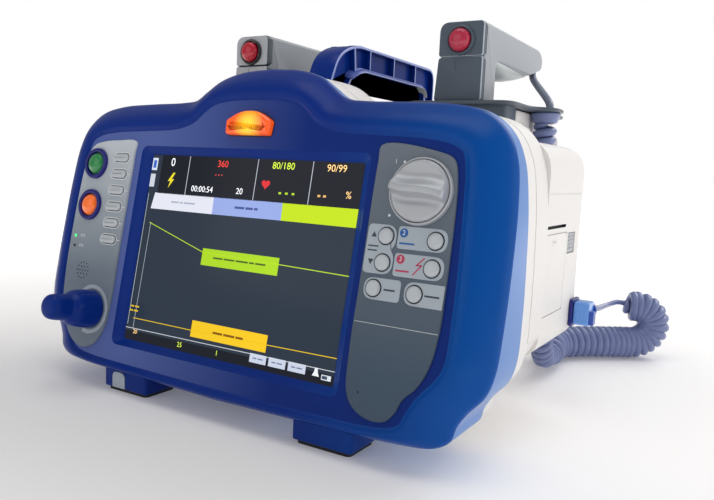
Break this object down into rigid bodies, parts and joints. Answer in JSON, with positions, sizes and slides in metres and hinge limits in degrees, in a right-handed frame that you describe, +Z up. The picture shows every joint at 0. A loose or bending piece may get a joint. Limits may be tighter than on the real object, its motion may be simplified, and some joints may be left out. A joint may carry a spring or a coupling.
{
  "type": "monitor defibrillator",
  "caption": "Hospital monitor-defibrillator with a tilted front screen, side control panels, carry handle and lift-off paddles on a curly cord.",
  "frame": {"origin": "middle of the footprint at the underside of the rubber feet", "axes": "+X to the viewer's right along the front, +Y from the front to the rear, +Z up"},
  "size_m": [0.3923, 0.4097, 0.264],
  "materials": {
    "blue_plastic": "satin royal blue moulding",
    "white_plastic": "fine textured warm white moulding",
    "slate_plastic": "fine textured slate grey moulding",
    "light_grey_plastic": "fine textured light grey moulding",
    "paddle_grey": "fine textured mid grey moulding",
    "silver_plastic": "satin silver moulding",
    "navy_plastic": "gloss navy moulding",
    "green_plastic": "gloss green button",
    "orange_plastic": "gloss orange button",
    "lamp_orange": "translucent amber lamp cover",
    "red_plastic": "gloss red button",
    "black_plastic": "black moulding",
    "screen_glass": "hard-coated clear acrylic over a lit screen",
    "plate_metal": "plain sheet",
    "electrode_steel": "brushed contact plate",
    "circuit_board": "coated glass fibre",
    "foot_rubber": "moulded rubber",
    "chart_paper": "recorder paper",
    "cord_jacket": "satin elastic jacket",
    "clear_blue_plastic": "translucent light blue moulding"
  },
  "bodies": {
    "unit": {"front_bezel": "blue_plastic", "screen_window": "screen_glass", "lcd_module": "plate_metal", "left_panel": "light_grey_plastic", "right_panel": "slate_plastic", "alarm_lamp": "lamp_orange", "green_button_ring": "navy_plastic", "orange_button_ring": "navy_plastic", "mode_knob_ring": "silver_plastic", "speaker": "black_plastic", "main_housing": "white_plastic", "rear_housing": "white_plastic", "top_deck": "white_plastic", "rear_cover": "white_plastic", "mains_inlet": "black_plastic", "foot_pad_front_left": "foot_rubber", "foot_pad_front_right": "foot_rubber", "foot_pad_rear_left": "foot_rubber", "foot_pad_rear_right": "foot_rubber", "carry_handle": "blue_plastic", "printer_latch": "light_grey_plastic", "printer_bay": "slate_plastic", "paper_roll": "chart_paper", "battery_pack": "black_plastic", "main_board": "circuit_board", "hv_capacitor": "plate_metal", "cord_coil_hanging": "cord_jacket", "cord_coil": "cord_jacket", "cord_lead": "cord_jacket", "cord_plug": "clear_blue_plastic", "paddle_socket": "blue_plastic"},
    "mode_selector": {"mode_knob": "silver_plastic"},
    "nav_wheel": {"nav_knob": "blue_plastic"},
    "soft_key_1_cap": {"soft_key_1": "silver_plastic"},
    "soft_key_2_cap": {"soft_key_2": "silver_plastic"},
    "soft_key_3_cap": {"soft_key_3": "silver_plastic"},
    "soft_key_4_cap": {"soft_key_4": "silver_plastic"},
    "soft_key_5_cap": {"soft_key_5": "silver_plastic"},
    "soft_key_6_cap": {"soft_key_6": "silver_plastic"},
    "green_cap": {"green_button": "green_plastic"},
    "orange_cap": {"orange_button": "orange_plastic"},
    "energy_up_cap": {"energy_up_button": "silver_plastic"},
    "energy_down_cap": {"energy_down_button": "silver_plastic"},
    "charge_cap": {"charge_button": "silver_plastic"},
    "shock_cap": {"shock_button": "silver_plastic"},
    "sync_cap": {"sync_button": "silver_plastic"},
    "disarm_cap": {"disarm_button": "silver_plastic"},
    "paddle_left": {"paddle_grip_left": "paddle_grey", "paddle_base_left": "slate_plastic", "electrode_left": "electrode_steel", "fire_ring_left": "black_plastic"},
    "fire_cap_left": {"fire_button_left": "red_plastic"},
    "paddle_right": {"paddle_grip_right": "paddle_grey", "paddle_base_right": "slate_plastic", "electrode_right": "electrode_steel", "fire_ring_right": "black_plastic", "grip_lead_right": "cord_jacket", "cord_relief": "cord_jacket"},
    "fire_cap_right": {"fire_button_right": "red_plastic"},
    "recorder_door": {"printer_door": "white_plastic"}
  },
  "joints": [
    {"name": "mode_selector_turn", "type": "hinge", "parent": "unit", "child": "mode_selector", "pos_m": [0.1259, -0.10048, 0.14967], "axis": [0, -0.981, 0.1942], "range_deg": [-60, 60]},
    {"name": "nav_wheel_turn", "type": "hinge", "parent": "unit", "child": "nav_wheel", "pos_m": [-0.118, -0.11952, 0.05353], "axis": [0, -0.981, 0.1942], "continuous": true},
    {"name": "soft_key_1_cap_press", "type": "slide", "parent": "unit", "child": "soft_key_1_cap", "axis": [0, 0.981, -0.1942], "range_m": [0, 0.0012], "stiffness_N_per_m": 800},
    {"name": "soft_key_2_cap_press", "type": "slide", "parent": "unit", "child": "soft_key_2_cap", "axis": [0, 0.981, -0.1942], "range_m": [0, 0.0012], "stiffness_N_per_m": 800},
    {"name": "soft_key_3_cap_press", "type": "slide", "parent": "unit", "child": "soft_key_3_cap", "axis": [0, 0.981, -0.1942], "range_m": [0, 0.0012], "stiffness_N_per_m": 800},
    {"name": "soft_key_4_cap_press", "type": "slide", "parent": "unit", "child": "soft_key_4_cap", "axis": [0, 0.981, -0.1942], "range_m": [0, 0.0012], "stiffness_N_per_m": 800},
    {"name": "soft_key_5_cap_press", "type": "slide", "parent": "unit", "child": "soft_key_5_cap", "axis": [0, 0.981, -0.1942], "range_m": [0, 0.0012], "stiffness_N_per_m": 800},
    {"name": "soft_key_6_cap_press", "type": "slide", "parent": "unit", "child": "soft_key_6_cap", "axis": [0, 0.981, -0.1942], "range_m": [0, 0.0012], "stiffness_N_per_m": 800},
    {"name": "green_cap_press", "type": "slide", "parent": "unit", "child": "green_cap", "axis": [0, 0.981, -0.1942], "range_m": [0, 0.0012], "stiffness_N_per_m": 800},
    {"name": "orange_cap_press", "type": "slide", "parent": "unit", "child": "orange_cap", "axis": [0, 0.981, -0.1942], "range_m": [0, 0.0012], "stiffness_N_per_m": 800},
    {"name": "energy_up_cap_press", "type": "slide", "parent": "unit", "child": "energy_up_cap", "axis": [0, 0.981, -0.1942], "range_m": [0, 0.0012], "stiffness_N_per_m": 800},
    {"name": "energy_down_cap_press", "type": "slide", "parent": "unit", "child": "energy_down_cap", "axis": [0, 0.981, -0.1942], "range_m": [0, 0.0012], "stiffness_N_per_m": 800},
    {"name": "charge_cap_press", "type": "slide", "parent": "unit", "child": "charge_cap", "axis": [0, 0.981, -0.1942], "range_m": [0, 0.0012], "stiffness_N_per_m": 800},
    {"name": "shock_cap_press", "type": "slide", "parent": "unit", "child": "shock_cap", "axis": [0, 0.981, -0.1942], "range_m": [0, 0.0012], "stiffness_N_per_m": 800},
    {"name": "sync_cap_press", "type": "slide", "parent": "unit", "child": "sync_cap", "axis": [0, 0.981, -0.1942], "range_m": [0, 0.0012], "stiffness_N_per_m": 800},
    {"name": "disarm_cap_press", "type": "slide", "parent": "unit", "child": "disarm_cap", "axis": [0, 0.981, -0.1942], "range_m": [0, 0.0012], "stiffness_N_per_m": 800},
    {"name": "paddle_left_lift", "type": "slide", "parent": "unit", "child": "paddle_left", "axis": [0, 0, 1], "range_m": [0, 0.04]},
    {"name": "fire_cap_left_press", "type": "slide", "parent": "paddle_left", "child": "fire_cap_left", "axis": [0, 1, 0], "range_m": [0, 0.003], "stiffness_N_per_m": 600},
    {"name": "paddle_right_lift", "type": "slide", "parent": "unit", "child": "paddle_right", "axis": [0, 0, 1], "range_m": [0, 0.04]},
    {"name": "fire_cap_right_press", "type": "slide", "parent": "paddle_right", "child": "fire_cap_right", "axis": [0, 1, 0], "range_m": [0, 0.003], "stiffness_N_per_m": 600},
    {"name": "recorder_door_open", "type": "hinge", "parent": "unit", "child": "recorder_door", "pos_m": [0.174, -0.0095, 0.07535], "axis": [0, 1, 0], "range_deg": [0, 95]}
  ]
}
